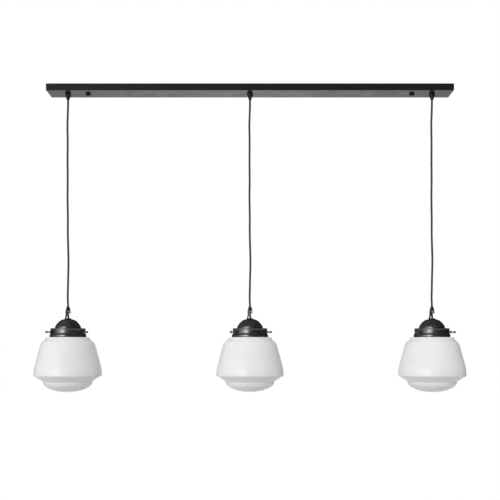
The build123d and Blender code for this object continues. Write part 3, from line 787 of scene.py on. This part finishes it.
for letter, angle in SCREW_ANGLES.items():
    screw = turn(f"thumbscrew_knob_{letter}", screw_outline, 24)
    plug(screw)
    knurl(screw, KNOB_START + 0.8, KNOB_END - 1.8, 0.12)
    point_outwards(screw, angle)
    smooth(screw, 25)
    hang(screw, f"thumbscrew_{letter}", STEEL)
print("thumbscrews", len(SCREW_ANGLES), "a pendant,", turns, "threads each")

# %% [markdown]
# ## Hook and loop
#
# The cord ends in a small cast hook: a bell round the cord with two cheeks. Between the cheeks sit
# the two ears of the loop, which stands on the dome on two bowed legs, with an eye between them
# that the cord's tail passes through. Flat cast pieces are drawn as a person would draw them:
# one point is extruded from corner to corner, the outline is filled and pulled to its depth, and
# a bevel takes off the sharpness that a casting never has.


# %% Draw a flat piece
def flat_piece(name, corners, low, high):
    """A plate with this (x, z) outline in millimetres, between two depths along Y."""
    let_go()
    here = Vector((corners[0][0], low, corners[0][1])) * MM
    bpy.ops.mesh.primitive_plane_add(size=MM, location=here)
    piece = bpy.context.object
    piece.name = name
    bpy.ops.object.mode_set(mode="EDIT")
    bpy.ops.mesh.select_all(action="SELECT")
    bpy.ops.mesh.merge(type="CENTER")
    for x, z in (*corners[1:], corners[0]):
        there = Vector((x, low, z)) * MM
        bpy.ops.mesh.extrude_region_move(TRANSFORM_OT_translate={"value": there - here})
        here = there
    bpy.ops.mesh.select_all(action="SELECT")
    bpy.ops.mesh.remove_doubles(threshold=0.001 * MM)
    bpy.ops.mesh.edge_face_add()
    bpy.ops.mesh.extrude_region_move(TRANSFORM_OT_translate={"value": (0, (high - low) * MM, 0)})
    bpy.ops.object.mode_set(mode="OBJECT")
    bpy.ops.object.transform_apply(location=True, rotation=True, scale=True)
    outward(piece)
    return piece


def ease_edges(piece, size, segments=2):
    """Round the sharp edges of a piece, size in millimetres."""
    modifier = piece.modifiers.new("eased", "BEVEL")
    modifier.width = size * MM
    modifier.segments = segments
    modifier.limit_method = "ANGLE"
    modifier.angle_limit = math.radians(40)
    apply_all(piece)


# %% Hook
BARREL = 12.6
HOOK_FLOOR = HOOK_TOP - BARREL
CHEEK_OUTER = HOOK_HIGH.x / MM
CHEEK_THICKNESS = 2.0
CHEEK_ROUND = 4.2
CHEEK_LAP = 0.6
hook_outline = soften(
    [
        (BORE, HOOK_TOP, 0),
        (3.9, HOOK_TOP, 0.4),
        (4.9, HOOK_TOP - 3.0, 2.0),
        (5.8, HOOK_TOP - 6.3, 2.0),
        (6.6, HOOK_TOP - 9.6, 1.2),
        (7.0, HOOK_FLOOR + 0.4, 0.5),
        (6.4, HOOK_FLOOR, 0.3),
        (BORE, HOOK_FLOOR, 0),
        (BORE, HOOK_TOP, 0),
    ]
)
parts = [turn("hook", hook_outline, 48)]
for side in (-1, 1):
    middle = side * (CHEEK_OUTER - CHEEK_THICKNESS / 2)
    let_go()
    bpy.ops.mesh.primitive_cylinder_add(
        vertices=40,
        radius=CHEEK_ROUND * MM,
        depth=CHEEK_THICKNESS * MM,
        location=(middle * MM, 0, PIVOT * MM),
        rotation=(0, math.radians(90), 0),
    )
    cheek = bpy.context.object
    bpy.ops.object.transform_apply(location=True, rotation=True, scale=True)
    pick(cheek, "VERT", lambda point: point.co.z > (PIVOT + 0.1) * MM)
    bpy.ops.transform.resize(value=(1, 1, 0), center_override=(0, 0, (HOOK_FLOOR + CHEEK_LAP) * MM))
    bpy.ops.object.mode_set(mode="OBJECT")
    ease_edges(cheek, 0.35)
    parts.append(cheek)
hook = joined(parts)
smooth(hook)
hang(hook, "cord_hook", CASTING)

# %% Loop
EAR_INNER = 3.3
EAR_OUTER = 5.5
LOOP_SHOULDER = PIVOT - CHEEK_ROUND - 0.6
LOOP_DEPTH = 6.0
EAR_ROUND = 2.8
FLANGE_TOP = DOME_TOP + 2.2
FLANGE_RADIUS = 10.2
EYE = 4.6
STEM_RADIUS = 5.0
STEM_BORE = 3.9
STEM_FOOT = DOME_TOP - 13.0
LEG = (
    (EAR_INNER, PIVOT + EAR_RISE),
    (EAR_OUTER, PIVOT + EAR_RISE),
    (EAR_OUTER, LOOP_SHOULDER),
    (7.6, LOOP_SHOULDER - 0.1),
    (7.4, PIVOT - 9.6),
    (8.1, PIVOT - 12.4),
    (9.5, FLANGE_TOP - 0.5),
    (EYE, FLANGE_TOP - 0.5),
    (EYE, FLANGE_TOP + 4.8),
    (EAR_INNER, FLANGE_TOP + 6.8),
)
flange_outline = soften(
    [
        (STEM_BORE, FLANGE_TOP, 0),
        (FLANGE_RADIUS - 0.1, FLANGE_TOP, 0.9),
        (FLANGE_RADIUS, DOME_TOP + 0.02, 0),
        (STEM_RADIUS, DOME_TOP + 0.02, 0),
        (STEM_RADIUS, STEM_FOOT, 0.4),
        (STEM_BORE, STEM_FOOT, 0),
        (STEM_BORE, FLANGE_TOP, 0),
    ]
)


def across_the_ear(edge, points):
    """True for an edge on the ear's top that runs across the picture."""
    first, second = (points[index].co for index in edge.vertices)
    on_top = min(first.z, second.z) > (PIVOT + EAR_RISE - 0.1) * MM
    return on_top and abs(first.y - second.y) < 0.01 * MM


parts = [turn("loop_bow", flange_outline, 64)]
for side in (-1, 1):
    leg = flat_piece("leg", [(side * x, z) for x, z in LEG], -LOOP_DEPTH / 2, LOOP_DEPTH / 2)
    pick(leg, "EDGE", lambda edge: across_the_ear(edge, leg.data.vertices))
    bpy.ops.mesh.bevel(offset=EAR_ROUND * MM, segments=8)
    bpy.ops.object.mode_set(mode="OBJECT")
    ease_edges(leg, 0.5, 3)
    parts.append(leg)
bow = joined(parts)
smooth(bow)
hang(bow, "loop", CASTING)
print("hook and loop round the pivot at", round(PIVOT, 2))

# %% [markdown]
# Each cheek has a small screw whose plain end is the pivot. Its flat head has a slot for a
# screwdriver: a thin box is taken away from the head.

# %% Pivot screws
HEAD_RADIUS = 2.7
HEAD_HEIGHT = 0.7
HEAD_FACE = CHEEK_OUTER + HEAD_HEIGHT
SLOT = (0.7, 8, 0.7)
pivot_outline = soften(
    [
        (1.3, EAR_INNER + 0.1, 0),
        (1.5, EAR_INNER + 0.3, 0),
        (1.5, CHEEK_OUTER, 0),
        (HEAD_RADIUS, CHEEK_OUTER, 0.1),
        (HEAD_RADIUS, HEAD_FACE, 0.25),
        (0, HEAD_FACE, 0),
    ]
)
parts = []
for side in (-1, 1):
    pin = turn("pivot_screws", pivot_outline, 32)
    plug(pin)
    let_go()
    bpy.ops.mesh.primitive_cube_add(size=MM, location=(0, 0, HEAD_FACE * MM), scale=SLOT)
    blade = bpy.context.object
    cut = pin.modifiers.new("slot", "BOOLEAN")
    cut.object = blade
    cut.operation = "DIFFERENCE"
    apply_all(pin)
    bpy.data.objects.remove(blade)
    pin.rotation_euler = (0, math.radians(90 * side), 0)
    pin.location = (0, 0, PIVOT * MM)
    apply_all(pin)
    parts.append(pin)
pins = joined(parts)
smooth(pins, 25)
hang(pins, "hook_screws", CASTING)

# %% [markdown]
# ## Cord grips
#
# A black moulded grip screws into the bar for each cord. It has a flat collar, a hollow taper like
# a trumpet's, and three thin ribs near its mouth that let it bend with the cord.

# %% Turn the grips
GRIP_MOUTH = GRIP_LOW.z / MM
GRIP_COLLAR = GRIP_HIGH.x / MM
SHANK_TOP = GRIP_HIGH.z / MM
BAR_FACE = GRIP_MOUTH + 18.0
grip_outline = soften(
    [
        (BORE, SHANK_TOP, 0),
        (5.0, SHANK_TOP, 0.4),
        (5.0, BAR_FACE, 0),
        (GRIP_COLLAR, BAR_FACE, 0.3),
        (GRIP_COLLAR, BAR_FACE - 2.2, 0.5),
        (8.2, BAR_FACE - 4.0, 1.0),
        (6.9, BAR_FACE - 8.6, 2.0),
        (5.6, BAR_FACE - 12.4, 0.4),
        (5.0, BAR_FACE - 13.0, 0.2),
        (5.2, BAR_FACE - 14.0, 0.3),
        (4.5, BAR_FACE - 14.7, 0.2),
        (4.7, BAR_FACE - 15.6, 0.3),
        (4.0, BAR_FACE - 16.3, 0.2),
        (4.2, BAR_FACE - 17.3, 0.3),
        (3.8, GRIP_MOUTH, 0.2),
        (BORE, GRIP_MOUTH, 0),
        (BORE, SHANK_TOP, 0),
    ],
    4,
)
grip = turn("grip", grip_outline, 64)
smooth(grip)
hang(grip, "cord_grip", GRIP_PLASTIC)
print("grips", len(grip_outline), "rings each")

# %% [markdown]
# ## Pieces whose shape is already right
#
# The rest were made from plain stock, and the frame has their true shape with its holes, flutes
# and folds. A node is loose triangles, so a copy of it is merged and smoothed, and takes a finish.

# %% Smooth and finish the other nodes
PLAIN = {
    "ceiling_bar": POWDER,
    "mounting_bracket_left": ZINC,
    "mounting_bracket_right": ZINC,
    "cap_nuts": NUT_BLACK,
    "grip_lock_nuts": ZINC,
    "terminal_block": BLOCK_PLASTIC,
    "terminal_screws": BRASS,
    "stud_nuts": ZINC,
    "earth_lead": EARTH_PLASTIC,
}
PLAIN.update({"lead_" + side: LEAD_COVER for side in SIDES})
for side in SIDES:
    PLAIN["lampholder_" + side] = HOLDER_PLASTIC
    PLAIN["holder_fixings_" + side] = HOLDER_PLASTIC
    PLAIN["bulb_" + side] = LAMP_GLASS
for node, material in PLAIN.items():
    soft_copy(node, material)
print("smoothed", len(PLAIN), "nodes")

# %% [markdown]
# ## Floor and light
#
# A pale floor lies a room's height below the ceiling, and the background is white. All the light
# comes from the world, which is a lamp that surrounds the object: it is brighter on the left and
# above, and has a soft window at the front left, whose reflection is the bright band on metal
# and glass, and a wider and fainter one beside it. The background is white only to the camera and
# straight behind the object in reflections, and the light that falls on the object is lower, so
# that white glass doesn't clip.

# %% Floor
FLOOR_HEIGHT = -2.3
FLOOR_GLOW = 0.75
let_go()
bpy.ops.mesh.primitive_plane_add(size=9.0, location=(0, 0, FLOOR_HEIGHT))
floor = bpy.context.object
floor.name = "floor"
floor_paint = bpy.data.materials.new("floor_paint")
floor_paint.use_nodes = True
nodes, links = floor_paint.node_tree.nodes, floor_paint.node_tree.links
nodes.clear()
painted = nodes.new("ShaderNodeBsdfDiffuse")
painted.inputs["Color"].default_value = (0.48, 0.48, 0.475, 1)
glow = nodes.new("ShaderNodeEmission")
ray = nodes.new("ShaderNodeLightPath")
either = nodes.new("ShaderNodeMath")
either.operation = "MAXIMUM"
share = nodes.new("ShaderNodeMath")
share.operation = "MULTIPLY"
share.inputs[1].default_value = FLOOR_GLOW
mix = nodes.new("ShaderNodeMixShader")
out = nodes.new("ShaderNodeOutputMaterial")
links.new(ray.outputs["Is Camera Ray"], either.inputs[0])
links.new(ray.outputs["Is Glossy Ray"], either.inputs[1])
links.new(either.outputs["Value"], share.inputs[0])
links.new(share.outputs["Value"], mix.inputs["Fac"])
links.new(painted.outputs["BSDF"], mix.inputs[1])
links.new(glow.outputs["Emission"], mix.inputs[2])
links.new(mix.outputs["Shader"], out.inputs["Surface"])
floor.data.materials.append(floor_paint)

# %% World
world = bpy.data.worlds.new("studio")
bpy.context.scene.world = world
world.use_nodes = True
nodes, links = world.node_tree.nodes, world.node_tree.links
nodes.clear()
ray = nodes.new("ShaderNodeLightPath")
place = nodes.new("ShaderNodeTexCoord")


def towards(azimuth, elevation):
    """A direction from the object: azimuth 0 is the camera's side, and negative is left of it."""
    turned, rise = math.radians(azimuth), math.radians(elevation)
    return Vector((math.sin(turned) * math.cos(rise), -math.cos(turned) * math.cos(rise), math.sin(rise)))


def calculate(operation, first, second):
    """One Math node on two outputs or numbers."""
    node = nodes.new("ShaderNodeMath")
    node.operation = operation
    for socket, value in zip(node.inputs, (first, second)):
        if isinstance(value, (int, float)):
            socket.default_value = value
        else:
            links.new(value, socket)
    return node.outputs["Value"]


def ranged(source, start, end, low, high, soft=False):
    """Map the values from start to end onto those from low to high."""
    node = nodes.new("ShaderNodeMapRange")
    node.interpolation_type = "SMOOTHSTEP" if soft else "LINEAR"
    for name, value in (("From Min", start), ("From Max", end), ("To Min", low), ("To Max", high)):
        node.inputs[name].default_value = value
    links.new(source, node.inputs["Value"])
    return node.outputs["Result"]


def slope(azimuth, elevation, low, high, start=-1.0, end=1.0):
    """Light that grows evenly from one side of the sky to the other."""
    dot = nodes.new("ShaderNodeVectorMath")
    dot.operation = "DOT_PRODUCT"
    dot.inputs[1].default_value = towards(azimuth, elevation)
    links.new(place.outputs["Generated"], dot.inputs[0])
    return ranged(dot.outputs["Value"], start, end, low, high)


def soft_window(azimuth, elevation, width, height, peak):
    """A bright oval in the sky with soft edges. Width and height are shares of a radius."""
    mapping = nodes.new("ShaderNodeMapping")
    mapping.vector_type = "TEXTURE"
    mapping.inputs["Location"].default_value = towards(azimuth, elevation)
    mapping.inputs["Rotation"].default_value = (0, 0, math.radians(azimuth))
    mapping.inputs["Scale"].default_value = (width, 1.0, height)
    oval = nodes.new("ShaderNodeTexGradient")
    oval.gradient_type = "SPHERICAL"
    links.new(place.outputs["Generated"], mapping.inputs["Vector"])
    links.new(mapping.outputs["Vector"], oval.inputs["Vector"])
    return ranged(oval.outputs["Fac"], 0.0, 0.7, 0.0, peak, soft=True)


window = calculate("ADD", soft_window(-26, 2, 0.34, 0.5, 2.9), soft_window(-48, 2, 0.5, 0.5, 0.9))
fall = calculate("ADD", slope(-24, 42, 0.3, 0.93), window)
backdrop = calculate("ADD", slope(180, 0, 0.0, 0.7, 0.8, 0.95), slope(180, -15, 0.0, 0.7, 0.965, 1.0))
mirrored = calculate("ADD", calculate("MAXIMUM", slope(-90, 0, 0.05, 0.26), backdrop), window)
seen = calculate("MAXIMUM", ray.outputs["Is Camera Ray"], ray.outputs["Is Transmission Ray"])
glossy = ray.outputs["Is Glossy Ray"]
reflected = calculate("MULTIPLY", mirrored, glossy)
fallen = calculate("MULTIPLY", fall, calculate("SUBTRACT", 1.0, glossy))
unseen = calculate("SUBTRACT", 1.0, seen)
strength = calculate("ADD", seen, calculate("MULTIPLY", calculate("ADD", reflected, fallen), unseen))
light = nodes.new("ShaderNodeBackground")
out = nodes.new("ShaderNodeOutputWorld")
links.new(strength, light.inputs["Strength"])
links.new(light.outputs["Background"], out.inputs["Surface"])
light.inputs["Color"].default_value = (1, 1, 1, 1)
print("world nodes", len(nodes))

# %% Picture settings
bpy.context.scene.view_settings.view_transform = "Standard"
